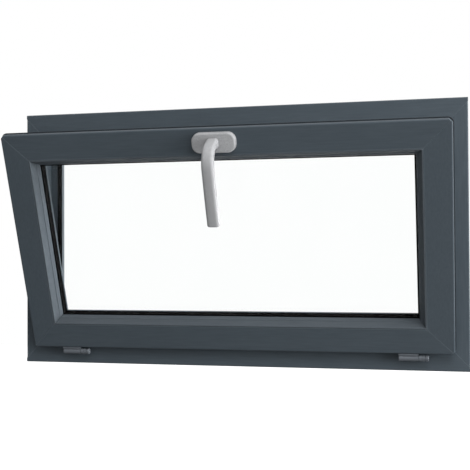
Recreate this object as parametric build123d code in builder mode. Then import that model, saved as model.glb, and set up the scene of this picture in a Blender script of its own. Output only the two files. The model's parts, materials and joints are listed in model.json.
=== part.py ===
from build123d import *
from math import cos, radians, sin, tan
import os

os.makedirs("parts", exist_ok=True)

# Overall size of the window, in millimetres
FRAME_WIDTH = 785.0
FRAME_HEIGHT = 450.0
FRAME_DEPTH = 70.0
HALF_WIDTH = FRAME_WIDTH / 2
HALF_HEIGHT = FRAME_HEIGHT / 2
FRONT = -FRAME_DEPTH / 2

# How far the sash leans into the room on its stays
TILT = 20.0

# How the sash sits on the frame when it is shut
MARGIN_SIDE = 24.0
MARGIN_RAIL = 31.0
OVERLAP = 5.0
CHAMBER = 10.0
SEAL_GAP = 5.0
SASH_PROUD = 14.0

# Frame profile: the land faces the room, then the rebate, then the stop lip that falls to the outside
LAND_JAMB = MARGIN_SIDE + OVERLAP
LAND_RAIL = MARGIN_RAIL + OVERLAP
LIP_WIDTH = 18.0
LIP_FALL = 3.5
LIP_FRONT = 44.0
EDGE_ROUND = 2.4
CORNER_STEP = LAND_RAIL - LAND_JAMB

# Weld seams sunk in the room faces at the mitres
WELD_LENGTH = 150.0
WELD_WIDTH = 0.9
WELD_DEEP = 0.35
WELD_SLOPE = 40.0

# Rain water leaves through slots in the outside of the sill
DRAIN_MARGIN = 182.5
DRAIN_X = FRAME_WIDTH / 2 - DRAIN_MARGIN
DRAIN_LENGTH = 32.0
DRAIN_HEIGHT = 6.0
DRAIN_Z = 18.0
DRAIN_DEEP = 14.0

# Sash profile, measured inward from the sash edge and back from the frame face
SASH_WIDTH = FRAME_WIDTH - 2 * MARGIN_SIDE
SASH_HEIGHT = FRAME_HEIGHT - 2 * MARGIN_RAIL
HALF_SASH_W = SASH_WIDTH / 2
HALF_SASH_H = SASH_HEIGHT / 2
SASH_FACE = 44.0
BEAD_WIDTH = 12.0
SASH_SIGHT = SASH_FACE + BEAD_WIDTH
SASH_WALL = OVERLAP + CHAMBER
SASH_FRONT = -SASH_PROUD
SASH_BACK = LIP_FRONT - SEAL_GAP
SASH_ROUND = 2.8
SASH_CORNER = 6.0
SASH_OUTER = SASH_SIGHT - 5.0
RAIN_FALL = 2.0

# Groove round the sash edge for the gear and the stay channels
GROOVE_V = 20.0
GROOVE_WIDTH = 16.0
GROOVE_DEPTH = 3.0

# Glass unit: two panes, held between the bead and the outer lip of the sash
PANE = 4.0
CAVITY = 14.0
GLASS_INSET = 21.0
GLASS_FRONT = SASH_FRONT + GLASS_INSET
GLASS_BACK = GLASS_FRONT + 2 * PANE + CAVITY
GLASS_EDGE = SASH_FACE + 2.0
GASKET_INNER = 3.0
GASKET_OUTER = 4.0
GASKET_LIP = 2.5
GASKET_WIDTH = 6.0
SPACER_SIDE = 8.0
SPACER_SIGHT = SASH_SIGHT - 1.5

# Bead profile: a narrow flat beside the sash, then a slope in two steps down to the glass
BEAD_FLAT = 1.6
BEAD_EDGE = 0.7
BEAD_BREAK = 8.6
BEAD_DROP = 10.0
BEAD_NOSE = 15.5
BEAD_GAP = 0.15

# Seals between frame and sash
SEAL_REST = 0.4
SEAL_INSET = 0.8
SEAL_PROUD = 1.5
LIP_SEAL = 6.0
LIP_SEAL_PROUD = 1.0

# Hinges under the sash
HINGE_V = -10.0
HINGE_Z = 22.2
HINGE_MARGIN = 96.5
HINGE_X = FRAME_WIDTH / 2 - HINGE_MARGIN
HINGE_SHIFT = 6.0
BARREL_RADIUS = 4.9
BARREL_LENGTH = 49.0
BARREL_SPLIT = 0.675
BARREL_GAP = 0.9
BARREL_END = 0.8
CAP_BEVEL = 1.5
PIN_RADIUS = 2.5
PIN_CLEARANCE = 0.05
WEB = 4.0
LEAF_THICK = 2.5
LEAF_WIDTH = 7.6
FOOT_HEIGHT = 6.4

# Turned steps of the short knuckle: share of its length, and radius against the barrel's
KNUCKLE_STEPS = ((0.31, 1.0), (0.05, 0.86), (0.25, 1.04), (0.09, 0.8), (0.30, 1.06))
FOOT_SHARE = 0.31

# Handle on the top rail
HANDLE_DROP = 23.0
ROSETTE_LENGTH = 72.0
ROSETTE_WIDTH = 33.0
ROSETTE_CORNER = 13.5
ROSETTE_THICK = 10.0
ROSETTE_ROUND = 2.4
NECK_RADIUS = 8.5
NECK_GAP = 0.4
LEVER_OUT = 54.0
LEVER_BEND = 32.0
LEVER_LENGTH = 124.0
LEVER_RETURN = 3.0
LEVER_WIDTH = 19.5
LEVER_THICK = 13.0
LEVER_END = 2.8

# Stays in the side chambers hold the sash open
STAY_LENGTH = FRAME_HEIGHT / 3
STAY_THICK = 2.0
STAY_WIDTH = 14.0
STAY_PLATE = 3.0
STAY_PIN_RADIUS = 3.0
STAY_PIN_SHORT = 0.5
STAY_SLOT_GAP = 1.0
CHANNEL_LENGTH = 90.0

# Locking gear on the top edge of the sash
GEAR_LENGTH = SASH_WIDTH - 180.0
GEAR_SLOT = 36.0
GEAR_SLOT_WIDTH = 6.0
CAM_MARGIN = 212.5
CAM_X = FRAME_WIDTH / 2 - CAM_MARGIN
CAM_SHIFT = 12.0
CAM_RADIUS = 5.5
CAM_HEIGHT = 3.0
STRIKER_THICK = 2.0
STRIKER_LENGTH = 60.0
STRIKER_CORNER = 3.0

HINGE_Y = FRONT + HINGE_V
OPEN = Location((0, HINGE_Y, HINGE_Z), (TILT, 0, 0)) * Location((0, -HINGE_Y, -HINGE_Z))

# The four sides of the window and the way in from each
INWARD = {"bottom": (0, 0, 1), "top": (0, 0, -1), "left": (1, 0, 0), "right": (-1, 0, 0)}
HANDS = ((-1, "left"), (1, "right"))
CORNERS = ((-1, -1), (-1, 1), (1, -1), (1, 1))


def is_rail(side):
    return side in ("bottom", "top")


def shut(plane):
    """The frame stays where it is drawn."""
    return plane


def opened(plane):
    """Carry a plane drawn for the shut sash to the open sash."""
    return Plane(OPEN * plane.location)


def edge_plane(side, half_width, half_height):
    """Plane across a member: first axis inward from its outer edge, second axis away from the room."""
    inward = Vector(*INWARD[side])
    edge = Vector(-inward.X * half_width, FRONT, HALF_HEIGHT - inward.Z * half_height)
    return Plane(origin=edge, x_dir=inward, z_dir=inward.cross(Vector(0, 1, 0)))


def face_plane(v, x=0.0, z=HALF_HEIGHT):
    """Upright plane facing the room, at depth v behind the frame face."""
    return Plane(origin=(x, FRONT + v, z), x_dir=(1, 0, 0), z_dir=(0, -1, 0))


def level_plane(x, z):
    """Level plane over the middle of the groove, facing up."""
    return Plane(origin=(x, FRONT + GROOVE_V, z), x_dir=(1, 0, 0), z_dir=(0, 0, 1))


def side_plane(x, y, z):
    """Plane across the window, facing right: first axis away from the room, second axis up."""
    return Plane(origin=(x, y, z), x_dir=(0, 1, 0), z_dir=(1, 0, 0))


def mitre_planes(side, half_width, half_height, step, gap):
    """The cuts at both ends of a member, each facing away from it."""
    inward = INWARD[side]
    away = 1 if is_rail(side) else -1
    planes = []
    for end in (-1, 1):
        sx = end if is_rail(side) else -inward[0]
        sz = -inward[2] if is_rail(side) else end
        facing = Vector(away * sx, 0, -away * sz).normalized()
        corner = Vector(sx * half_width, 0, HALF_HEIGHT + sz * (half_height - step))
        planes.append(Plane(origin=corner - facing * gap, z_dir=facing))
    return planes


def run_member(side, half_width, half_height, points, place, rounds=(), step=0.0, gap=0.0, weld_v=None):
    """Run a profile along one side, cut both mitres and sink the weld seams in the face at weld_v."""
    half_run = half_width if is_rail(side) else half_height
    with BuildSketch(place(edge_plane(side, half_width, half_height))) as profile:
        with BuildLine():
            Polyline(*points, close=True)
        make_face()
        for corner, radius in rounds:
            fillet(profile.vertices().sort_by_distance((*corner, 0))[0], radius)
    extrude(profile.sketch, amount=half_run, both=True)
    for cut in mitre_planes(side, half_width, half_height, step, gap):
        split(bisect_by=place(cut), keep=Keep.BOTTOM)
    if weld_v is not None:
        with BuildSketch(place(face_plane(weld_v))) as seams:
            for sx, sz in CORNERS:
                with Locations((sx * half_width, sz * (half_height - step))):
                    Rectangle(WELD_LENGTH, WELD_WIDTH, rotation=45 * sx * sz)
        extrude(seams.sketch, amount=-WELD_DEEP, taper=WELD_SLOPE, mode=Mode.SUBTRACT)


def run_ring(v, thick, outer, inner, half_width, half_height, place):
    """A flat strip all round, thick toward the room from depth v, between two distances from the edge."""
    with BuildSketch(place(face_plane(v))) as strip:
        Rectangle(2 * (half_width - outer), 2 * (half_height - outer))
        Rectangle(2 * (half_width - inner), 2 * (half_height - inner), mode=Mode.SUBTRACT)
    extrude(strip.sketch, amount=thick)


def keep(made, name):
    made.part.label = name
    export_step(made.part, "parts/" + name + ".step")


# Outer frame: four members mitred and welded at the corners
FRAME_NAMES = {"bottom": "frame_sill", "top": "frame_head",
               "left": "frame_jamb_left", "right": "frame_jamb_right"}
for side, name in FRAME_NAMES.items():
    land = LAND_RAIL if is_rail(side) else LAND_JAMB
    frame_points = [
        (0, 0),
        (land, 0),
        (land, LIP_FRONT),
        (land + LIP_WIDTH, LIP_FRONT),
        (land + LIP_WIDTH - LIP_FALL, FRAME_DEPTH),
        (0, FRAME_DEPTH),
    ]
    frame_rounds = [((0, 0), EDGE_ROUND), ((land, 0), EDGE_ROUND / 2), ((0, FRAME_DEPTH), EDGE_ROUND),
                    ((land + LIP_WIDTH - LIP_FALL, FRAME_DEPTH), EDGE_ROUND)]
    with BuildPart() as frame_member:
        run_member(side, HALF_WIDTH, HALF_HEIGHT, frame_points, shut, frame_rounds, CORNER_STEP, weld_v=0)
        if side == "bottom":
            with BuildSketch(face_plane(FRAME_DEPTH, z=DRAIN_Z)):
                with Locations((-DRAIN_X, 0), (DRAIN_X, 0)):
                    SlotOverall(DRAIN_LENGTH, DRAIN_HEIGHT)
            extrude(amount=DRAIN_DEEP, mode=Mode.SUBTRACT)
    keep(frame_member, name)

with BuildPart() as frame_gasket:
    lip_seal_edge = LAND_JAMB + LIP_WIDTH + LIP_SEAL_PROUD
    run_ring(LIP_FRONT, SEAL_GAP - SEAL_REST, lip_seal_edge - LIP_SEAL, lip_seal_edge,
             HALF_WIDTH, HALF_HEIGHT - CORNER_STEP, shut)
keep(frame_gasket, "frame_gasket")

# Sash: four members mitred and welded, with the glazing rebate open to the room
GLASS_SEAT = GLASS_BACK + GASKET_OUTER
GROOVE_LOW = GROOVE_V - GROOVE_WIDTH / 2
GROOVE_HIGH = GROOVE_V + GROOVE_WIDTH / 2
SASH_POINTS = [
    (0, -SEAL_GAP),
    (0, SASH_FRONT),
    (SASH_FACE, SASH_FRONT),
    (SASH_FACE, GLASS_SEAT),
    (SASH_OUTER, GLASS_SEAT + RAIN_FALL),
    (SASH_OUTER, SASH_BACK),
    (SASH_WALL, SASH_BACK),
    (SASH_WALL, GROOVE_HIGH),
    (SASH_WALL + GROOVE_DEPTH, GROOVE_HIGH),
    (SASH_WALL + GROOVE_DEPTH, GROOVE_LOW),
    (SASH_WALL, GROOVE_LOW),
    (SASH_WALL, -SEAL_GAP),
]
SASH_ROUNDS = [((0, SASH_FRONT), SASH_ROUND), ((SASH_OUTER, SASH_BACK), EDGE_ROUND / 2),
               ((SASH_WALL, SASH_BACK), EDGE_ROUND / 2)]
SASH_NAMES = {"bottom": "sash_bottom_rail", "top": "sash_top_rail",
              "left": "sash_stile_left", "right": "sash_stile_right"}
for side, name in SASH_NAMES.items():
    with BuildPart() as sash_member:
        run_member(side, HALF_SASH_W, HALF_SASH_H, SASH_POINTS, opened, SASH_ROUNDS, weld_v=SASH_FRONT)
        for sx, sz in CORNERS:
            trim = Plane(origin=(sx * (HALF_SASH_W - SASH_CORNER), 0, HALF_HEIGHT + sz * HALF_SASH_H),
                         z_dir=(sx, 0, sz))
            split(bisect_by=opened(trim), keep=Keep.BOTTOM)
    keep(sash_member, name)

# Glazing beads, cut to fit between the sash members
BEAD_POINTS = [
    (SASH_FACE, SASH_FRONT + BEAD_EDGE),
    (SASH_FACE + BEAD_EDGE, SASH_FRONT),
    (SASH_FACE + BEAD_EDGE + BEAD_FLAT, SASH_FRONT),
    (SASH_FACE + BEAD_BREAK, SASH_FRONT + BEAD_DROP),
    (SASH_FACE + BEAD_BREAK + BEAD_EDGE, SASH_FRONT + BEAD_DROP),
    (SASH_SIGHT, SASH_FRONT + BEAD_NOSE),
    (SASH_SIGHT, GLASS_FRONT - GASKET_INNER),
    (SASH_FACE, GLASS_FRONT - GASKET_INNER),
]
BEAD_ROUNDS = [((SASH_FACE + BEAD_EDGE + BEAD_FLAT, SASH_FRONT), BEAD_EDGE)]
for side in INWARD:
    with BuildPart() as bead:
        run_member(side, HALF_SASH_W, HALF_SASH_H, BEAD_POINTS, opened, BEAD_ROUNDS, gap=BEAD_GAP)
    keep(bead, "bead_" + side)

# Glass unit
for name, back in (("pane_inner", GLASS_FRONT + PANE), ("pane_outer", GLASS_BACK)):
    with BuildPart() as pane:
        with BuildSketch(opened(face_plane(back))):
            Rectangle(2 * (HALF_SASH_W - GLASS_EDGE), 2 * (HALF_SASH_H - GLASS_EDGE))
        extrude(amount=PANE)
    keep(pane, name)

with BuildPart() as spacer:
    run_ring(GLASS_FRONT + PANE + CAVITY, CAVITY, SPACER_SIGHT - SPACER_SIDE, SPACER_SIGHT,
             HALF_SASH_W, HALF_SASH_H, opened)
keep(spacer, "spacer")

with BuildPart() as glazing_gasket_inner:
    run_ring(GLASS_FRONT, GASKET_INNER, SASH_SIGHT + GASKET_LIP - GASKET_WIDTH, SASH_SIGHT + GASKET_LIP,
             HALF_SASH_W, HALF_SASH_H, opened)
keep(glazing_gasket_inner, "glazing_gasket_inner")

with BuildPart() as glazing_gasket_outer:
    run_ring(GLASS_SEAT, GASKET_OUTER, GLASS_EDGE, SASH_OUTER - SEAL_INSET, HALF_SASH_W, HALF_SASH_H, opened)
keep(glazing_gasket_outer, "glazing_gasket_outer")

with BuildPart() as sash_seal:
    run_ring(-SEAL_REST, SEAL_GAP - SEAL_REST, -SEAL_PROUD, OVERLAP - SEAL_INSET,
             HALF_SASH_W, HALF_SASH_H, opened)
keep(sash_seal, "sash_seal")

# Hinges: the long knuckle hangs under the sash, the short capped one and the pin stand on the sill
LONG_PART = BARREL_LENGTH * BARREL_SPLIT - BARREL_GAP
SHORT_PART = BARREL_LENGTH * (1 - BARREL_SPLIT)
LEAF_MID = MARGIN_RAIL - HINGE_Z - LEAF_THICK / 2
for sign, hand in HANDS:
    start = sign * HINGE_X + HINGE_SHIFT - BARREL_LENGTH / 2
    with BuildPart() as hinge_sash_leaf:
        with BuildSketch(opened(side_plane(start, HINGE_Y, HINGE_Z))):
            Circle(BARREL_RADIUS)
        extrude(amount=LONG_PART)
        chamfer(edges().filter_by(GeomType.CIRCLE).sort_by(Axis.X)[0], BARREL_END)
        with BuildSketch(opened(side_plane(start, HINGE_Y, HINGE_Z))):
            with Locations((0, LEAF_MID / 2)):
                Rectangle(WEB, LEAF_MID)
            with Locations((0, LEAF_MID)):
                Rectangle(LEAF_WIDTH, LEAF_THICK)
        extrude(amount=LONG_PART)
        with BuildSketch(opened(side_plane(start, HINGE_Y, HINGE_Z))):
            Circle(PIN_RADIUS + PIN_CLEARANCE)
        extrude(amount=LONG_PART, mode=Mode.SUBTRACT)
    keep(hinge_sash_leaf, "hinge_sash_leaf_" + hand)

    with BuildPart() as hinge_frame_leaf:
        step_start = start + BARREL_LENGTH - SHORT_PART
        for share, against in KNUCKLE_STEPS:
            with BuildSketch(side_plane(step_start, HINGE_Y, HINGE_Z)):
                Circle(BARREL_RADIUS * against)
            extrude(amount=SHORT_PART * share)
            step_start += SHORT_PART * share
        chamfer(edges().filter_by(GeomType.CIRCLE).sort_by(Axis.X)[-1], CAP_BEVEL)
        with BuildSketch(side_plane(start + BARREL_LENGTH - SHORT_PART, HINGE_Y, HINGE_Z)):
            with Locations((-HINGE_V / 2, 0)):
                Rectangle(-HINGE_V, FOOT_HEIGHT)
        extrude(amount=SHORT_PART * FOOT_SHARE)
        with BuildSketch(side_plane(start, HINGE_Y, HINGE_Z)):
            Circle(PIN_RADIUS)
        extrude(amount=BARREL_LENGTH - SHORT_PART)
    keep(hinge_frame_leaf, "hinge_frame_leaf_" + hand)

# Handle: a rosette on the top rail and a bent lever that turns in it
HANDLE_Z = FRAME_HEIGHT - MARGIN_RAIL - HANDLE_DROP
with BuildPart() as handle_rosette:
    with BuildSketch(opened(face_plane(SASH_FRONT, z=HANDLE_Z))):
        RectangleRounded(ROSETTE_LENGTH, ROSETTE_WIDTH, ROSETTE_CORNER)
    extrude(amount=ROSETTE_THICK, taper=3)
    fillet(faces().sort_by(Axis((0, 0, 0), opened(face_plane(0)).z_dir))[-1].edges(), ROSETTE_ROUND)
    with BuildSketch(opened(face_plane(SASH_FRONT, z=HANDLE_Z))):
        Circle(NECK_RADIUS + NECK_GAP)
    extrude(amount=ROSETTE_THICK, mode=Mode.SUBTRACT)
keep(handle_rosette, "handle_rosette")

LEVER_REACH = LEVER_OUT - NECK_GAP
lever_plane = Plane(origin=(0, FRONT + SASH_FRONT - NECK_GAP, HANDLE_Z), x_dir=(0, -1, 0), z_dir=(-1, 0, 0))


def oval(line, along, width, thick):
    """Oval section across the lever's centre line."""
    with BuildSketch(Plane(origin=line @ along, x_dir=(1, 0, 0), z_dir=line % along)) as across:
        Ellipse(width / 2, thick / 2)
    return across.sketch


with BuildPart() as handle_lever:
    with BuildLine(opened(lever_plane)):
        neck = Line((0, 0), (LEVER_REACH - LEVER_BEND, 0))
        bend = JernArc(start=neck @ 1, tangent=neck % 1, radius=LEVER_BEND, arc_size=-90)
        grip = TangentArc(bend @ 1, (LEVER_REACH - LEVER_RETURN, -LEVER_LENGTH), tangent=bend % 1)
    extrude(oval(neck, 0, 2 * NECK_RADIUS, 2 * NECK_RADIUS), amount=neck.length / 2)
    loft(sections=[oval(neck, 0.5, 2 * NECK_RADIUS, 2 * NECK_RADIUS),
                   oval(neck, 1, LEVER_WIDTH, LEVER_THICK)])
    sweep(sections=oval(bend, 0, LEVER_WIDTH, LEVER_THICK), path=bend)
    sweep(sections=oval(grip, 0, LEVER_WIDTH, LEVER_THICK), path=grip)
    tip = faces().filter_by(GeomType.PLANE).sort_by(Axis.Z)[0]
    fillet(tip.edges(), LEVER_END)
keep(handle_lever, "handle_lever")

# Stays: a bracket with a pivot on each jamb, an arm, and a channel in the sash edge for the arm's pin
SASH_WALL_X = HALF_SASH_W - SASH_WALL
JAMB_WALL_X = HALF_WIDTH - LAND_JAMB
CHANNEL_X = SASH_WALL_X - GROOVE_DEPTH
ARM_X = (SASH_WALL_X + JAMB_WALL_X - STAY_THICK) / 2
BRACKET_X = JAMB_WALL_X - STAY_PLATE
STAY_REACH = GROOVE_V - HINGE_V
STAY_RISE = STAY_LENGTH + STAY_REACH * tan(radians(TILT / 2))
STAY_TURN = 2 * TILT
STAY_Y = FRONT + GROOVE_V
STAY_Z = HINGE_Z + STAY_RISE
ARM_OPEN = Location((0, STAY_Y, STAY_Z), (STAY_TURN, 0, 0))
TIP_Y = STAY_REACH - STAY_LENGTH * sin(radians(STAY_TURN))
TIP_Z = STAY_RISE + STAY_LENGTH * cos(radians(STAY_TURN))
SLIDE_OPEN = TIP_Z * cos(radians(TILT)) - TIP_Y * sin(radians(TILT))
SLIDE_SHUT = STAY_RISE + STAY_LENGTH
SLIDE_MID = (SLIDE_OPEN + SLIDE_SHUT) / 2


def slice_start(sign, near, far):
    """Left face of the slice between two distances from the middle, on either hand."""
    return near if sign > 0 else -far


def on_arm(plane):
    """Carry a plane drawn for an upright arm at the origin to the raised arm."""
    return Plane(ARM_OPEN * plane.location)


for sign, hand in HANDS:
    with BuildPart() as stay_bracket:
        with BuildSketch(side_plane(slice_start(sign, BRACKET_X, JAMB_WALL_X), STAY_Y, STAY_Z)):
            SlotOverall(3 * STAY_WIDTH, STAY_WIDTH, rotation=90)
        extrude(amount=STAY_PLATE)
        pivot_end = ARM_X - STAY_PIN_SHORT
        with BuildSketch(side_plane(slice_start(sign, pivot_end, BRACKET_X), STAY_Y, STAY_Z)):
            Circle(STAY_PIN_RADIUS)
        extrude(amount=BRACKET_X - pivot_end)
    keep(stay_bracket, "stay_bracket_" + hand)

    with BuildPart() as stay_arm:
        with BuildSketch(on_arm(side_plane(slice_start(sign, ARM_X, ARM_X + STAY_THICK), 0, 0))):
            with Locations((0, STAY_LENGTH / 2)):
                SlotCenterToCenter(STAY_LENGTH, STAY_WIDTH, rotation=90)
            Circle(STAY_PIN_RADIUS + PIN_CLEARANCE, mode=Mode.SUBTRACT)
        extrude(amount=STAY_THICK)
        pin_end = CHANNEL_X + STAY_PIN_SHORT
        with BuildSketch(on_arm(side_plane(slice_start(sign, pin_end, ARM_X + STAY_THICK), 0, 0))):
            with Locations((0, STAY_LENGTH)):
                Circle(STAY_PIN_RADIUS)
        extrude(amount=ARM_X + STAY_THICK - pin_end)
    keep(stay_arm, "stay_arm_" + hand)

    with BuildPart() as stay_channel:
        channel_x = slice_start(sign, CHANNEL_X, SASH_WALL_X)
        with BuildSketch(opened(side_plane(channel_x, STAY_Y, HINGE_Z + SLIDE_MID))):
            Rectangle(GROOVE_WIDTH, CHANNEL_LENGTH)
            SlotCenterToCenter(SLIDE_SHUT - SLIDE_OPEN, 2 * (STAY_PIN_RADIUS + STAY_SLOT_GAP), rotation=90,
                               mode=Mode.SUBTRACT)
        extrude(amount=GROOVE_DEPTH)
    keep(stay_channel, "stay_channel_" + hand)

# Locking gear: a faceplate in the top groove, cams that stand on it, strikers under the frame head
GEAR_TOP = FRAME_HEIGHT - MARGIN_RAIL - SASH_WALL
with BuildPart() as gear_faceplate:
    with BuildSketch(opened(level_plane(0, GEAR_TOP - GROOVE_DEPTH))):
        Rectangle(GEAR_LENGTH, GROOVE_WIDTH)
        with Locations((-CAM_X, 0), (CAM_X, 0)):
            SlotOverall(GEAR_SLOT, GEAR_SLOT_WIDTH, mode=Mode.SUBTRACT)
    extrude(amount=GROOVE_DEPTH)
keep(gear_faceplate, "gear_faceplate")

for sign, hand in HANDS:
    with BuildPart() as locking_cam:
        with BuildSketch(opened(level_plane(sign * CAM_X + CAM_SHIFT, GEAR_TOP))):
            Circle(CAM_RADIUS)
        extrude(amount=CAM_HEIGHT)
    keep(locking_cam, "locking_cam_" + hand)

    with BuildPart() as striker:
        with BuildSketch(level_plane(sign * CAM_X, FRAME_HEIGHT - LAND_RAIL - STRIKER_THICK)):
            RectangleRounded(STRIKER_LENGTH, GROOVE_WIDTH, STRIKER_CORNER)
        extrude(amount=STRIKER_THICK)
    keep(striker, "striker_" + hand)
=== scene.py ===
import bpy
import json
import math
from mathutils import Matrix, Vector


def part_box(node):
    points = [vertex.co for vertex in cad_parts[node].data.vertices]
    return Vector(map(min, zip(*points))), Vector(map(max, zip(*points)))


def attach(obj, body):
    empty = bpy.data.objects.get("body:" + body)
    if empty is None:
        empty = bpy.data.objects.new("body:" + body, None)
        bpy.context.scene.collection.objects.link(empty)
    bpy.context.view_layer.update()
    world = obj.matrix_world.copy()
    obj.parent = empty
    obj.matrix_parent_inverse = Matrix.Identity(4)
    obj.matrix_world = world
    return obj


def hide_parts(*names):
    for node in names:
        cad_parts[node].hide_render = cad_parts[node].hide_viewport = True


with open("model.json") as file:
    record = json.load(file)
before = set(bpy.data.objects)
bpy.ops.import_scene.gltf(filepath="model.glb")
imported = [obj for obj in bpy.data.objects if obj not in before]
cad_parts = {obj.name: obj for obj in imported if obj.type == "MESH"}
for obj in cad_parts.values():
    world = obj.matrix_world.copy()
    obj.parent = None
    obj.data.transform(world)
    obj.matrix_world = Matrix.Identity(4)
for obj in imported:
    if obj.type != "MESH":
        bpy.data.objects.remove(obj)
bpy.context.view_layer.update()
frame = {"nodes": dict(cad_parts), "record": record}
nodes = frame["nodes"]

# Sizes repeated from the part's source, in metres
TILT = math.radians(20)
HINGE = (0, -0.045, 0.0222)
ROOM_FACE = -0.035
SASH_WIDTH = 0.737
SASH_HEIGHT = 0.388
MID_HEIGHT = 0.225
SASH_FACE_Y = -0.049
HANDLE_Z = 0.396
GROOVE_Y = -0.015
STAY_Z = 0.17749
BRACKET_X = 0.3605
ARM_X = 0.3575
CHANNEL_WALL_X = 0.3535
CHANNEL_Z = 0.31315
GEAR_TOP = 0.404
STRIKER_Z = 0.412
CAM_X = 0.18
DRAIN_X = 0.21
DRAIN_Z = 0.018
OUTSIDE_FACE = 0.035


# Tools for working on one piece at a time
def start_piece():
    if bpy.context.object and bpy.context.object.mode != "OBJECT":
        bpy.ops.object.mode_set(mode="OBJECT")
    bpy.ops.object.select_all(action="DESELECT")


def name_piece(name):
    piece = bpy.context.object
    piece.name = name
    piece.data.name = name
    return piece


def only(piece):
    start_piece()
    piece.select_set(True)
    bpy.context.view_layer.objects.active = piece


def edit(piece):
    only(piece)
    bpy.ops.object.mode_set(mode="EDIT")
    bpy.ops.mesh.select_all(action="DESELECT")


def done():
    bpy.ops.object.mode_set(mode="OBJECT")


def pick_faces(piece, wanted):
    """Select the faces whose middle and normal pass the test, while in edit mode."""
    bpy.ops.object.mode_set(mode="OBJECT")
    for vertex in piece.data.vertices:
        vertex.select = False
    for edge in piece.data.edges:
        edge.select = False
    for face in piece.data.polygons:
        face.select = wanted(face.center, face.normal)
    bpy.ops.object.mode_set(mode="EDIT")
    bpy.ops.mesh.select_mode(type="FACE")


def apply_modifier(piece, kind, **settings):
    modifier = piece.modifiers.new(kind.lower(), kind)
    for key, value in settings.items():
        setattr(modifier, key, value)
    only(piece)
    bpy.ops.object.modifier_apply(modifier=modifier.name)


def settle(piece):
    """Put the place, turn and size of a piece into its mesh."""
    only(piece)
    bpy.ops.object.transform_apply(location=True, rotation=True, scale=True)


def smooth(piece, degrees=35):
    only(piece)
    bpy.ops.object.shade_smooth_by_angle(angle=math.radians(degrees))


def copy_piece(piece, name):
    twin = piece.copy()
    twin.data = piece.data.copy()
    twin.name = name
    twin.data.name = name
    bpy.context.collection.objects.link(twin)
    return twin


def draw_out(length):
    """Extrude the selected faces along Y, while in edit mode."""
    bpy.ops.mesh.extrude_region_move(TRANSFORM_OT_translate={"value": (0, length, 0)})


def lean_with_sash(piece):
    """Turn a piece drawn on the shut sash to the open sash."""
    edit(piece)
    bpy.ops.mesh.select_all(action="SELECT")
    bpy.ops.transform.rotate(value=-TILT, orient_axis="X", orient_type="GLOBAL",
                             center_override=HINGE)
    done()


# Finishes
class Finish:
    """A node material for one finish, with its shader at hand."""

    def __init__(self, name):
        self.material = bpy.data.materials.new(name)
        self.material.use_nodes = True
        self.tree = self.material.node_tree
        self.shader = self.tree.nodes["Principled BSDF"]
        self.place = self.node("ShaderNodeTexCoord").outputs["Object"]

    def node(self, kind, **settings):
        made = self.tree.nodes.new(kind)
        for key, value in settings.items():
            setattr(made, key, value)
        return made

    def join(self, source, target):
        self.tree.links.new(source, target)

    def set(self, **values):
        for key, value in values.items():
            self.shader.inputs[key.replace("_", " ")].default_value = value

    def mapped(self, turn=(0, 0, 0), stretch=(1, 1, 1)):
        mapping = self.node("ShaderNodeMapping")
        mapping.inputs["Rotation"].default_value = turn
        mapping.inputs["Scale"].default_value = stretch
        self.join(self.place, mapping.inputs["Vector"])
        return mapping.outputs["Vector"]

    def noise(self, scale, detail=3.0, rough=0.5, at=None):
        noise = self.node("ShaderNodeTexNoise")
        noise.inputs["Scale"].default_value = scale
        noise.inputs["Detail"].default_value = detail
        noise.inputs["Roughness"].default_value = rough
        self.join(at or self.place, noise.inputs["Vector"])
        return noise.outputs["Fac"]

    def tones(self, source, stops):
        """Colours along a pattern, as pairs of place and colour."""
        ramp = self.node("ShaderNodeValToRGB")
        while len(ramp.color_ramp.elements) < len(stops):
            ramp.color_ramp.elements.new(0.5)
        for element, (position, colour) in zip(ramp.color_ramp.elements, stops):
            element.position = position
            element.color = (*colour, 1)
        self.join(source, ramp.inputs["Fac"])
        return ramp.outputs["Color"]

    def between(self, source, low, high, start=0.3, end=0.7):
        """Bring a pattern's span from start to end to the span from low to high."""
        limits = self.node("ShaderNodeMapRange")
        limits.inputs["From Min"].default_value = start
        limits.inputs["From Max"].default_value = end
        limits.inputs["To Min"].default_value = low
        limits.inputs["To Max"].default_value = high
        self.join(source, limits.inputs["Value"])
        return limits.outputs["Result"]

    def blend(self, factor, first, second):
        mix = self.node("ShaderNodeMix", data_type="RGBA")
        self.join(factor, mix.inputs["Factor"])
        self.join(first, mix.inputs["A"])
        self.join(second, mix.inputs["B"])
        return mix.outputs["Result"]

    def times(self, first, second):
        mix = self.node("ShaderNodeMix", data_type="RGBA", blend_type="MULTIPLY")
        mix.inputs["Factor"].default_value = 1.0
        self.join(first, mix.inputs["A"])
        self.join(second, mix.inputs["B"])
        return mix.outputs["Result"]

    def bump(self, height, strength, distance, under=None):
        """Raise the surface by a pattern, on top of an earlier bump if one is given."""
        bump = self.node("ShaderNodeBump")
        bump.inputs["Strength"].default_value = strength
        bump.inputs["Distance"].default_value = distance
        self.join(height, bump.inputs["Height"])
        if under:
            self.join(under, bump.inputs["Normal"])
        return bump.outputs["Normal"]

    def nearness(self, distance, inside):
        """1 on open faces, less in creases, or less on outer edges when looked for inside the solid."""
        near = self.node("ShaderNodeAmbientOcclusion", samples=8, inside=inside)
        near.inputs["Distance"].default_value = distance
        return near.outputs["AO"]

    def use(self, socket, source):
        self.join(source, self.shader.inputs[socket])


EDGE_WEAR_AND_HIGHLIGHT_WIDTH = 0.0018
CREASE_SHADE_WIDTH = 0.004
GRAIN_STRETCH = 0.06


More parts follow.
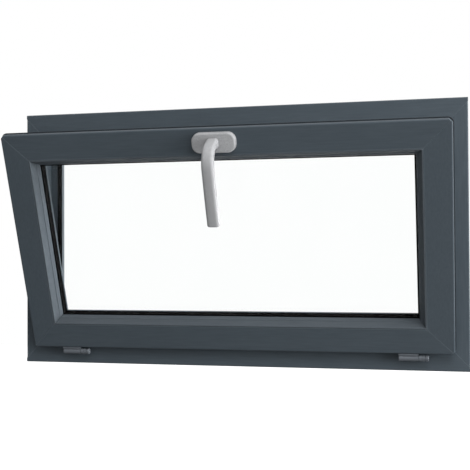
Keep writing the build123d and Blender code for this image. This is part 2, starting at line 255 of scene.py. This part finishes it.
def anthracite_foil(name, turn, run, gloss=0.3, warmth=(1, 1, 1)):
    """Satin anthracite foil: grain along the member, outer edges lighter with wear and a painted
    highlight, and painted shade darkening the creases.
    """
    def warm(*colour):
        return tuple(part * share for part, share in zip(colour, warmth))

    foil = Finish(name)
    stretch = tuple(GRAIN_STRETCH if axis == run else 1.0 for axis in "xyz")
    along = foil.mapped(turn, stretch)
    streak = foil.noise(420, 5, 0.6, along)
    cloud = foil.noise(7, 4, 0.55)
    grain = foil.noise(2600, 2, 0.5)
    dark = foil.tones(streak, ((0.25, warm(0.045, 0.058, 0.070)), (0.75, warm(0.056, 0.071, 0.084))))
    pale = foil.tones(streak, ((0.25, warm(0.050, 0.064, 0.077)), (0.75, warm(0.062, 0.078, 0.092))))
    plain = foil.blend(cloud, dark, pale)
    # Painted highlight with wear: a lighter tone laid along the outer edges, where light catches them.
    rubbed_and_highlit = foil.tones(streak, ((0.25, (0.100, 0.122, 0.141)), (0.75, (0.126, 0.150, 0.170))))
    edge = foil.nearness(EDGE_WEAR_AND_HIGHLIGHT_WIDTH, True)
    worn_and_highlit = foil.blend(foil.between(edge, 0.8, 0.0, 0.35, 0.9), plain, rubbed_and_highlit)
    # Painted shade: the foil is darkened in creases, grooves and joints.
    crease = foil.nearness(CREASE_SHADE_WIDTH, False)
    shade = foil.tones(crease, ((0.2, (0.35, 0.35, 0.35)), (0.75, (1, 1, 1))))
    foil.use("Base Color", foil.times(worn_and_highlit, shade))
    foil.use("Roughness", foil.between(foil.noise(36, 5, 0.6), 0.34, 0.44))
    pores = foil.bump(grain, 0.25, 0.00004)
    foil.use("Normal", foil.bump(streak, 0.18, 0.00008, pores))
    foil.set(Specular_IOR_Level=gloss)
    return foil.material


def black_rubber(name, clean, dusty):
    rubber = Finish(name)
    dust = rubber.noise(90, 5, 0.65)
    rubber.use("Base Color", rubber.tones(dust, ((0.3, clean), (0.8, dusty))))
    rubber.use("Roughness", rubber.between(dust, 0.6, 0.78))
    rubber.use("Normal", rubber.bump(rubber.noise(1800, 2), 0.3, 0.00005))
    rubber.set(Specular_IOR_Level=0.07)
    return rubber.material


def clear_pane(name):
    pane = Finish(name)
    wipe = pane.noise(9, 4, 0.6)
    wiped = (0.985, 0.993, 0.990)
    clear = (0.993, 0.998, 0.996)
    pane.use("Base Color", pane.tones(wipe, ((0.2, wiped), (0.8, clear))))
    pane.use("Roughness", pane.between(wipe, 0.0, 0.012))
    pane.use("Normal", pane.bump(pane.noise(3, 1), 0.01, 0.0002))
    pane.set(Transmission_Weight=1.0, IOR=1.1)
    return pane.material


def black_spacer(name):
    bar = Finish(name)
    dull = bar.noise(160, 4, 0.6)
    black = (0.0008, 0.0008, 0.0009)
    faded = (0.0025, 0.0025, 0.0027)
    bar.use("Base Color", bar.tones(dull, ((0.3, black), (0.8, faded))))
    bar.use("Roughness", bar.between(dull, 0.62, 0.8))
    bar.use("Normal", bar.bump(bar.noise(700, 3), 0.2, 0.00008))
    bar.set(Specular_IOR_Level=0.02)
    return bar.material


def hinge_enamel(name):
    enamel = Finish(name)
    peel = enamel.noise(700, 2, 0.5)
    shade = enamel.noise(60, 4, 0.6)
    dark = (0.085, 0.096, 0.110)
    pale = (0.108, 0.120, 0.136)
    enamel.use("Base Color", enamel.tones(shade, ((0.25, dark), (0.75, pale))))
    enamel.use("Roughness", enamel.between(shade, 0.3, 0.42))
    enamel.use("Normal", enamel.bump(peel, 0.2, 0.00008))
    return enamel.material


def satin_silver(name):
    silver = Finish(name)
    sparkle = silver.noise(900, 4, 0.75)
    shade = silver.noise(35, 4, 0.6)
    fine = silver.tones(sparkle, ((0.35, (0.263, 0.267, 0.275)), (0.65, (0.480, 0.486, 0.498))))
    dull = silver.tones(sparkle, ((0.35, (0.241, 0.245, 0.253)), (0.65, (0.441, 0.447, 0.459))))
    silver.use("Base Color", silver.blend(shade, dull, fine))
    silver.use("Roughness", silver.between(sparkle, 0.5, 0.62))
    silver.use("Normal", silver.bump(sparkle, 0.3, 0.00006))
    silver.set(Metallic=0.2)
    return silver.material


def zinc_steel(name, dark, middle, light):
    zinc = Finish(name)
    bloom = zinc.noise(120, 5, 0.6)
    zinc.use("Base Color", zinc.tones(bloom, ((0.25, dark), (0.55, middle), (0.8, light))))
    zinc.use("Roughness", zinc.between(zinc.noise(260, 4), 0.42, 0.52))
    zinc.use("Normal", zinc.bump(zinc.noise(900, 2), 0.15, 0.00006))
    zinc.set(Metallic=1.0)
    return zinc.material


def drain_plastic(name):
    plastic = Finish(name)
    silt = plastic.noise(240, 5, 0.65)
    clean = (0.020, 0.023, 0.026)
    silty = (0.048, 0.054, 0.060)
    plastic.use("Base Color", plastic.tones(silt, ((0.3, clean), (0.75, silty))))
    plastic.use("Roughness", plastic.between(silt, 0.42, 0.62))
    plastic.use("Normal", plastic.bump(plastic.noise(1500, 2), 0.25, 0.00005))
    return plastic.material


UPRIGHT = (0, 0, 0)
SASH_LEAN = (-TILT, 0, 0)
foil_rail = anthracite_foil("foil_rail", UPRIGHT, "x")
foil_jamb = anthracite_foil("foil_jamb", UPRIGHT, "z")
foil_stile = anthracite_foil("foil_stile", SASH_LEAN, "z")
BEAD_GLOSS = 0.02
BEAD_WARMTH = (1.19, 1.10, 1.05)
bead_rail = anthracite_foil("bead_rail", UPRIGHT, "x", BEAD_GLOSS, BEAD_WARMTH)
bead_stile = anthracite_foil("bead_stile", SASH_LEAN, "z", BEAD_GLOSS, BEAD_WARMTH)
rubber = black_rubber("black_rubber", (0.0012, 0.0012, 0.0013), (0.0045, 0.0045, 0.0048))
edge_rubber = black_rubber("edge_rubber", (0.022, 0.026, 0.030), (0.034, 0.039, 0.044))
glass = clear_pane("clear_pane")
spacer_finish = black_spacer("black_spacer")
hinge_finish = hinge_enamel("hinge_enamel")
handle_finish = satin_silver("satin_silver")
steel = zinc_steel("zinc_steel", (0.38, 0.38, 0.377), (0.44, 0.44, 0.444), (0.48, 0.48, 0.475))
screw_steel = zinc_steel("screw_steel", (0.13, 0.13, 0.132), (0.20, 0.20, 0.203), (0.27, 0.27, 0.265))
drain_finish = drain_plastic("drain_plastic")


def dress(node, finish):
    shown = nodes[node]
    for index in range(len(shown.material_slots)):
        shown.material_slots[index].material = finish


slot_finish = {"rubber": rubber, "glass": glass, "spacer": spacer_finish, "hinge": hinge_finish,
               "handle": handle_finish, "steel": steel}
for piece in frame["record"]["subparts"]:
    node = piece["node"]
    if piece["material_slot"] in slot_finish:
        dress(node, slot_finish[piece["material_slot"]])
    elif "jamb" in node:
        dress(node, foil_jamb)
    elif node.startswith("sash_stile"):
        dress(node, foil_stile)
    elif node in ("bead_left", "bead_right"):
        dress(node, bead_stile)
    elif node in ("bead_bottom", "bead_top"):
        dress(node, bead_rail)
    else:
        dress(node, foil_rail)


# Ways that a piece drawn facing up is turned
FACE_UP = (0, 0, 0)
FACE_DOWN = (math.pi, 0, 0)
FACE_RIGHT = (0, math.pi / 2, 0)
FACE_LEFT = (0, -math.pi / 2, 0)
FACE_ROOM = (math.pi / 2, 0, 0)
FACE_OUTSIDE = (-math.pi / 2, 0, 0)
HANDS = ((-1, "left"), (1, "right"))


# Rubber seals: a mitred ring that rises in steps to a rounded lip
def ring_seal(name, half_width, half_height, width, base, steps, rounding, corner=0.0, finish=rubber):
    """Each step narrows the ring by a margin at both edges and lifts it along Y."""
    start_piece()
    bpy.ops.mesh.primitive_plane_add(size=2, location=(0, base, MID_HEIGHT), rotation=FACE_ROOM)
    seal = name_piece(name)
    seal.scale = (half_width, half_height, 1)
    settle(seal)
    edit(seal)
    bpy.ops.mesh.select_all(action="SELECT")
    if corner:
        bpy.ops.mesh.bevel(offset=corner, segments=5, affect="VERTICES")
    bpy.ops.mesh.select_all(action="SELECT")
    bpy.ops.mesh.inset(thickness=width, depth=0)
    bpy.ops.mesh.delete(type="FACE")
    bpy.ops.mesh.select_all(action="SELECT")
    for margin, lift in steps:
        if margin:
            bpy.ops.mesh.inset(thickness=margin, depth=0)
        draw_out(lift)
    bpy.ops.mesh.region_to_loop()
    bpy.ops.mesh.bevel(offset=rounding, segments=3, affect="EDGES")
    bpy.ops.mesh.select_all(action="SELECT")
    bpy.ops.mesh.normals_make_consistent(inside=False)
    done()
    smooth(seal)
    seal.data.materials.append(finish)
    return seal


def sash_seal_ring(name, node, width, depth, steps, rounding, corner=0.0, finish=rubber):
    """A ring on the sash in the place of a plain solid one."""
    half_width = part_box(node)[1][0]
    half_height = half_width - (SASH_WIDTH - SASH_HEIGHT) / 2
    base = ROOM_FACE + depth
    seal = ring_seal(name, half_width, half_height, width, base, steps, rounding, corner, finish)
    lean_with_sash(seal)
    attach(seal, "sash")
    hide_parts(node)


low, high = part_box("frame_gasket")
STOP_SEAL_FOOT = 0.0014
STOP_SEAL_STEPS = ((0, -STOP_SEAL_FOOT), (0.0009, low[1] - high[1] + STOP_SEAL_FOOT))
stop_seal = ring_seal("stop_seal", high[0], (high[2] - low[2]) / 2, width=0.0085, base=high[1],
                      steps=STOP_SEAL_STEPS, rounding=0.0011)
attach(stop_seal, "frame")
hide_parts("frame_gasket")
sash_seal_ring("sash_edge_seal", "sash_seal", width=0.0057, depth=-0.005,
               steps=((0, 0.0018), (0.0008, 0.0028)), rounding=0.0011, corner=0.009, finish=edge_rubber)
sash_seal_ring("glazing_seal_room", "glazing_gasket_inner", width=0.006, depth=0.007,
               steps=((0, -0.0018), (0.0004, -0.0012)), rounding=0.0004)
sash_seal_ring("glazing_seal_outside", "glazing_gasket_outer", width=0.0042, depth=0.029,
               steps=((0, 0.0024), (0.0005, 0.0016)), rounding=0.0006)


# Handle lever: a flat bar with rounded edges, spun round the bend and down the slightly curved grip
LEVER_WIDTH = 0.0195
LEVER_THICK = 0.013
LEVER_EDGE = 0.0046
ROSETTE_THICK = 0.010
NECK_SIDE = 0.0148
SHOULDER_SIDE = 0.0175
SHOULDER_RISE = 0.0018
NECK_GAP = 0.0004
NECK_LENGTH = 0.0216
BEND_RADIUS = 0.032
GRIP_RADIUS = 1.4122
GRIP_DROP = 0.092
GRIP_TURN = math.asin(GRIP_DROP / GRIP_RADIUS)
TIP_ROUND = 0.0028
MERGE_DISTANCE = 0.000001


def lever_bar():
    start_y = SASH_FACE_Y - NECK_GAP
    neck_end = start_y - NECK_LENGTH
    bend_end = neck_end - BEND_RADIUS
    shoulder = SASH_FACE_Y - ROSETTE_THICK - NECK_GAP
    start_piece()
    bpy.ops.mesh.primitive_plane_add(size=1, location=(0, start_y, HANDLE_Z), rotation=FACE_ROOM)
    lever = name_piece("lever_bar")
    lever.scale = (LEVER_WIDTH, LEVER_THICK, 1)
    settle(lever)
    edit(lever)
    bpy.ops.mesh.select_all(action="SELECT")
    bpy.ops.mesh.bevel(offset=LEVER_EDGE, segments=5, affect="VERTICES")
    bpy.ops.mesh.select_all(action="SELECT")
    narrow = (NECK_SIDE / LEVER_WIDTH, 1, NECK_SIDE / LEVER_THICK)
    bpy.ops.transform.resize(value=narrow, center_override=(0, start_y, HANDLE_Z))
    draw_out(shoulder - start_y)
    draw_out(-SHOULDER_RISE)
    widen = (LEVER_WIDTH / NECK_SIDE, 1, SHOULDER_SIDE / NECK_SIDE)
    bpy.ops.transform.resize(value=widen, center_override=(0, shoulder, HANDLE_Z))
    draw_out(neck_end - shoulder + SHOULDER_RISE)
    flatten = (1, 1, LEVER_THICK / SHOULDER_SIDE)
    bpy.ops.transform.resize(value=flatten, center_override=(0, neck_end, HANDLE_Z))
    bpy.ops.mesh.spin(steps=12, angle=math.pi / 2, axis=(-1, 0, 0),
                      center=(0, neck_end, HANDLE_Z - BEND_RADIUS))
    bpy.ops.mesh.spin(steps=8, angle=GRIP_TURN, axis=(-1, 0, 0),
                      center=(0, bend_end + GRIP_RADIUS, HANDLE_Z - BEND_RADIUS))
    bpy.ops.mesh.region_to_loop()
    bpy.ops.mesh.bevel(offset=TIP_ROUND, segments=4, affect="EDGES")
    bpy.ops.mesh.select_all(action="SELECT")
    bpy.ops.mesh.remove_doubles(threshold=MERGE_DISTANCE)
    bpy.ops.mesh.normals_make_consistent(inside=False)
    done()
    smooth(lever, 30)
    lean_with_sash(lever)
    lever.data.materials.append(handle_finish)
    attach(lever, "handle")
    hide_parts("handle_lever")


lever_bar()


# Screws: one flush head with a cross recess, modelled facing up at the origin and copied to each plate
HEAD_RADIUS = 0.0026
HEAD_PROUD = 0.00025
HEAD_DEPTH = 0.0016
CROSS_ARM = 0.0008
CROSS_REACH = 0.0010
CROSS_DEPTH = 0.0009
CROSS_TAPER = (0.6, 0.6, 1)
HEAD_TAPER = (0.5, 0.5, 1)
HEAD_RIM = 0.0004
HEAD_CROWN = 0.00005


def cross_cutter():
    """A plus with a narrower foot, the shape of the driver's tip."""
    start_piece()
    bpy.ops.mesh.primitive_cube_add(size=1, location=(0, 0, HEAD_PROUD))
    cutter = name_piece("driver_tip")
    cutter.scale = (CROSS_ARM, CROSS_ARM, 2 * CROSS_DEPTH)
    settle(cutter)
    edit(cutter)
    pick_faces(cutter, lambda middle, normal: abs(normal.z) < 0.5)
    bpy.ops.mesh.extrude_faces_move(TRANSFORM_OT_shrink_fatten={"value": CROSS_REACH})
    pick_faces(cutter, lambda middle, normal: normal.z < -0.5)
    bpy.ops.transform.resize(value=CROSS_TAPER, center_override=(0, 0, HEAD_PROUD - CROSS_DEPTH))
    done()
    return cutter


def cross_screw():
    cutter = cross_cutter()
    start_piece()
    bpy.ops.mesh.primitive_cylinder_add(vertices=24, radius=HEAD_RADIUS, depth=HEAD_DEPTH,
                                        location=(0, 0, HEAD_PROUD - HEAD_DEPTH / 2))
    screw = name_piece("cross_screw")
    settle(screw)
    edit(screw)
    pick_faces(screw, lambda middle, normal: normal.z > 0.9)
    bpy.ops.mesh.inset(thickness=HEAD_RIM, depth=HEAD_CROWN)
    pick_faces(screw, lambda middle, normal: normal.z < -0.9)
    bpy.ops.transform.resize(value=HEAD_TAPER, center_override=(0, 0, HEAD_PROUD - HEAD_DEPTH))
    done()
    apply_modifier(screw, "BOOLEAN", object=cutter, operation="DIFFERENCE", solver="EXACT")
    bpy.data.objects.remove(cutter)
    smooth(screw, 25)
    screw.data.materials.append(screw_steel)
    return screw


def set_in(piece, turn, place):
    """Turn a piece at the origin and carry it to its place."""
    piece.rotation_euler = turn
    piece.location = place
    settle(piece)


BRACKET_SCREWS = 0.014
STRIKER_SCREWS = 0.022
CHANNEL_SCREWS = 0.033
GEAR_SCREWS = (-0.264, -0.09, 0.09, 0.264)
screw = cross_screw()
places = []
for sign, hand in HANDS:
    inward = FACE_RIGHT if sign < 0 else FACE_LEFT
    outward = FACE_LEFT if sign < 0 else FACE_RIGHT
    for step, end in ((-1, "low"), (1, "high")):
        places.append(("bracket_screw_" + hand + "_" + end, "frame", inward,
                       (sign * BRACKET_X, GROOVE_Y, STAY_Z + step * BRACKET_SCREWS)))
        places.append(("striker_screw_" + hand + "_" + end, "frame", FACE_DOWN,
                       (sign * CAM_X + step * STRIKER_SCREWS, GROOVE_Y, STRIKER_Z)))
        places.append(("channel_screw_" + hand + "_" + end, "sash", outward,
                       (sign * CHANNEL_WALL_X, GROOVE_Y, CHANNEL_Z + step * CHANNEL_SCREWS)))
for number, x in enumerate(GEAR_SCREWS, 1):
    places.append(("gear_screw_%d" % number, "sash", FACE_UP, (x, GROOVE_Y, GEAR_TOP)))
for name, body, turn, place in places:
    fixing = copy_piece(screw, name)
    set_in(fixing, turn, place)
    if body == "sash":
        lean_with_sash(fixing)
    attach(fixing, body)
bpy.data.objects.remove(screw)


# Rivet heads on the stays' pivots
RIVET_RADIUS = 0.0048
RIVET_HEIGHT = 0.0012
RIVET_GAP = 0.0001
RIVET_ROUND = RIVET_HEIGHT * 0.7
RIVET_RIM = RIVET_RADIUS * 0.4
RIVET_DIMPLE_SLOPE = RIVET_RADIUS * 0.08
RIVET_DIMPLE = RIVET_HEIGHT * 0.25


def pivot_rivet():
    start_piece()
    bpy.ops.mesh.primitive_cylinder_add(vertices=32, radius=RIVET_RADIUS, depth=RIVET_HEIGHT,
                                        location=(0, 0, RIVET_HEIGHT / 2))
    rivet = name_piece("pivot_rivet")
    settle(rivet)
    edit(rivet)
    pick_faces(rivet, lambda middle, normal: normal.z > 0.9)
    bpy.ops.mesh.bevel(offset=RIVET_ROUND, segments=4, affect="EDGES")
    pick_faces(rivet, lambda middle, normal: normal.z > 0.999)
    bpy.ops.mesh.inset(thickness=RIVET_RIM, depth=0)
    bpy.ops.mesh.inset(thickness=RIVET_DIMPLE_SLOPE, depth=-RIVET_DIMPLE)
    done()
    smooth(rivet)
    rivet.data.materials.append(screw_steel)
    return rivet


rivet = pivot_rivet()
for sign, hand in HANDS:
    head = copy_piece(rivet, "pivot_rivet_" + hand)
    inward = FACE_RIGHT if sign < 0 else FACE_LEFT
    set_in(head, inward, (sign * (ARM_X - RIVET_GAP), GROOVE_Y, STAY_Z))
    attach(head, "frame")
bpy.data.objects.remove(rivet)


# Drain grilles: a plate in each drain slot of the sill with a row of pockets pressed into it
GRILLE_LENGTH = 0.0312
GRILLE_HEIGHT = 0.0053
GRILLE_THICK = 0.003
GRILLE_BARS = 7
GRILLE_END_ROUND = GRILLE_HEIGHT * 0.48
GRILLE_EDGE_ROUND = 0.00018
GRILLE_SET_BACK = 0.0006
POCKET_RIM = 0.0007
POCKET_SLOPE = 0.0003
POCKET_DEPTH = 0.0016


def drain_grille():
    start_piece()
    bpy.ops.mesh.primitive_plane_add(size=1, location=(0, 0, -GRILLE_THICK))
    grille = name_piece("drain_grille")
    grille.scale = (GRILLE_LENGTH, GRILLE_HEIGHT, 1)
    settle(grille)
    edit(grille)
    bpy.ops.mesh.select_all(action="SELECT")
    bpy.ops.mesh.bevel(offset=GRILLE_END_ROUND, segments=5, affect="VERTICES")
    bpy.ops.mesh.select_all(action="SELECT")
    bpy.ops.mesh.extrude_region_move(TRANSFORM_OT_translate={"value": (0, 0, GRILLE_THICK)})
    bar_step = GRILLE_LENGTH / GRILLE_BARS
    for bar in range(1, GRILLE_BARS):
        bpy.ops.mesh.select_all(action="SELECT")
        bpy.ops.mesh.bisect(plane_co=(bar * bar_step - GRILLE_LENGTH / 2, 0, 0), plane_no=(1, 0, 0))
    pick_faces(grille, lambda middle, normal: normal.z > 0.9)
    bpy.ops.mesh.inset(thickness=POCKET_RIM, depth=0, use_individual=True)
    bpy.ops.mesh.inset(thickness=POCKET_SLOPE, depth=-POCKET_DEPTH, use_individual=True)
    bpy.ops.mesh.select_all(action="SELECT")
    bpy.ops.mesh.normals_make_consistent(inside=False)
    done()
    apply_modifier(grille, "BEVEL", width=GRILLE_EDGE_ROUND, segments=2, limit_method="ANGLE")
    smooth(grille)
    grille.data.materials.append(drain_finish)
    return grille


grille = drain_grille()
for sign, hand in HANDS:
    cover = copy_piece(grille, "drain_grille_" + hand)
    set_in(cover, FACE_OUTSIDE, (sign * DRAIN_X, OUTSIDE_FACE - GRILLE_SET_BACK, DRAIN_Z))
    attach(cover, "frame")
bpy.data.objects.remove(grille)


# Camera at the photograph's angle
CAMERA_PLACE = (0.371454, -1.591452, 0.195342)
CAMERA_DEGREES = (91.1376, 0.2855, 13.4623)
CAMERA_LENS = 70.804
CAMERA_SENSOR = 36


def place_camera():
    start_piece()
    turn = tuple(math.radians(angle) for angle in CAMERA_DEGREES)
    bpy.ops.object.camera_add(location=CAMERA_PLACE, rotation=turn)
    camera = bpy.context.object
    camera.name = "room_camera"
    camera.data.lens = CAMERA_LENS
    camera.data.sensor_width = CAMERA_SENSOR
    bpy.context.scene.camera = camera


# Studio: white to the eye all round, soft light strongest from the right, three lamps and dark cards
BRIGHT_SIDE = (0.8, -0.45, 0.4)
LIGHT_START = -0.7
LIGHT_LOW = 0.05
LIGHT_HIGH = 1.1
FLOOR_Z = -0.3
FLOOR_GREY = (0.3, 0.3, 0.3, 1)
FLOOR_GLOW = 0.9
WHITE = (1, 1, 1, 1)


def math_node(tree, operation):
    node = tree.nodes.new("ShaderNodeMath")
    node.operation = operation
    return node


def white_to_the_eye(tree):
    """1 for what the eye sees, straight or by way of glass or gloss, and 0 for what lights the object."""
    path = tree.nodes.new("ShaderNodeLightPath")
    seen = path.outputs["Is Camera Ray"]
    for kind in ("Is Transmission Ray", "Is Glossy Ray"):
        either = math_node(tree, "MAXIMUM")
        tree.links.new(seen, either.inputs[0])
        tree.links.new(path.outputs[kind], either.inputs[1])
        seen = either.outputs[0]
    straight = math_node(tree, "LESS_THAN")
    straight.inputs[1].default_value = 0.5
    both = math_node(tree, "MULTIPLY")
    tree.links.new(path.outputs["Diffuse Depth"], straight.inputs[0])
    tree.links.new(seen, both.inputs[0])
    tree.links.new(straight.outputs[0], both.inputs[1])
    return both.outputs[0]


def white_room():
    room = bpy.data.worlds.new("white_room")
    bpy.context.scene.world = room
    room.use_nodes = True
    tree = room.node_tree
    tree.nodes.clear()
    out = tree.nodes.new("ShaderNodeOutputWorld")
    mix = tree.nodes.new("ShaderNodeMixShader")
    light = tree.nodes.new("ShaderNodeBackground")
    seen = tree.nodes.new("ShaderNodeBackground")
    light.inputs["Color"].default_value = WHITE
    seen.inputs["Color"].default_value = WHITE
    seen.inputs["Strength"].default_value = 1.0
    way = tree.nodes.new("ShaderNodeTexCoord")
    side = tree.nodes.new("ShaderNodeVectorMath")
    side.operation = "DOT_PRODUCT"
    side.inputs[1].default_value = BRIGHT_SIDE
    level = tree.nodes.new("ShaderNodeMapRange")
    level.inputs["From Min"].default_value = LIGHT_START
    level.inputs["To Min"].default_value = LIGHT_LOW
    level.inputs["To Max"].default_value = LIGHT_HIGH
    tree.links.new(way.outputs["Generated"], side.inputs[0])
    tree.links.new(side.outputs["Value"], level.inputs["Value"])
    tree.links.new(level.outputs["Result"], light.inputs["Strength"])
    tree.links.new(white_to_the_eye(tree), mix.inputs[0])
    tree.links.new(light.outputs[0], mix.inputs[1])
    tree.links.new(seen.outputs[0], mix.inputs[2])
    tree.links.new(mix.outputs[0], out.inputs["Surface"])


def studio_lamp(name, place, aim, size, power):
    """A soft lamp that lights the object and doesn't show in its gloss."""
    start_piece()
    bpy.ops.object.light_add(type="AREA", location=place)
    lamp = bpy.context.object
    lamp.name = name
    lamp.data.size = size
    lamp.data.energy = power
    lamp.visible_glossy = False
    dx, dy, dz = (a - b for a, b in zip(aim, place))
    lamp.rotation_euler = (math.atan2(math.hypot(dx, dy), -dz), 0, math.atan2(dy, dx) - math.pi / 2)


def dark_card(name, place, turn, size):
    """A dull card that only gloss shows, so that edges get a dark side."""
    start_piece()
    bpy.ops.mesh.primitive_plane_add(size=size, location=place, rotation=turn)
    card = name_piece(name)
    settle(card)
    card.visible_camera = False
    card.visible_diffuse = False
    card.visible_transmission = False
    card.visible_shadow = False
    dull = Finish(name)
    black = (0.02, 0.02, 0.02)
    faded = (0.03, 0.03, 0.03)
    dull.use("Base Color", dull.tones(dull.noise(4), ((0.3, black), (0.7, faded))))
    dull.set(Roughness=0.9, Specular_IOR_Level=0.0)
    card.data.materials.append(dull.material)


def pale_floor():
    start_piece()
    bpy.ops.mesh.primitive_plane_add(size=6, location=(0, 0, FLOOR_Z))
    floor = name_piece("pale_floor")
    settle(floor)
    material = bpy.data.materials.new("pale_floor")
    material.use_nodes = True
    tree = material.node_tree
    tree.nodes.clear()
    out = tree.nodes.new("ShaderNodeOutputMaterial")
    both = tree.nodes.new("ShaderNodeAddShader")
    matt = tree.nodes.new("ShaderNodeBsdfDiffuse")
    matt.inputs["Color"].default_value = FLOOR_GREY
    glow = tree.nodes.new("ShaderNodeEmission")
    level = math_node(tree, "MULTIPLY")
    level.inputs[1].default_value = FLOOR_GLOW
    tree.links.new(white_to_the_eye(tree), level.inputs[0])
    tree.links.new(level.outputs[0], glow.inputs["Strength"])
    tree.links.new(matt.outputs[0], both.inputs[0])
    tree.links.new(glow.outputs[0], both.inputs[1])
    tree.links.new(both.outputs[0], out.inputs["Surface"])
    floor.data.materials.append(material)


bpy.context.scene.view_settings.view_transform = "Standard"
place_camera()
white_room()
pale_floor()
studio_lamp("right_lamp", place=(3.2, -0.95, 0.4), aim=(0, 0, 0.2), size=1.6, power=125)
studio_lamp("upper_lamp", place=(1.0, -1.7, 2.2), aim=(0, 0, 0.2), size=1.6, power=42)
studio_lamp("outdoor_lamp", place=(1.9, 1.3, 0.9), aim=(-0.3, 0, 0.2), size=1.0, power=85)
dark_card("left_card", place=(-1.6, 0, 0.2), turn=FACE_RIGHT, size=4)
dark_card("low_card", place=(0, -1.2, -0.25), turn=FACE_UP, size=4)
dark_card("front_card", place=(-0.6, -3, 0.2), turn=FACE_ROOM, size=4)
for pane in ("pane_inner", "pane_outer"):
    nodes[pane].visible_shadow = False
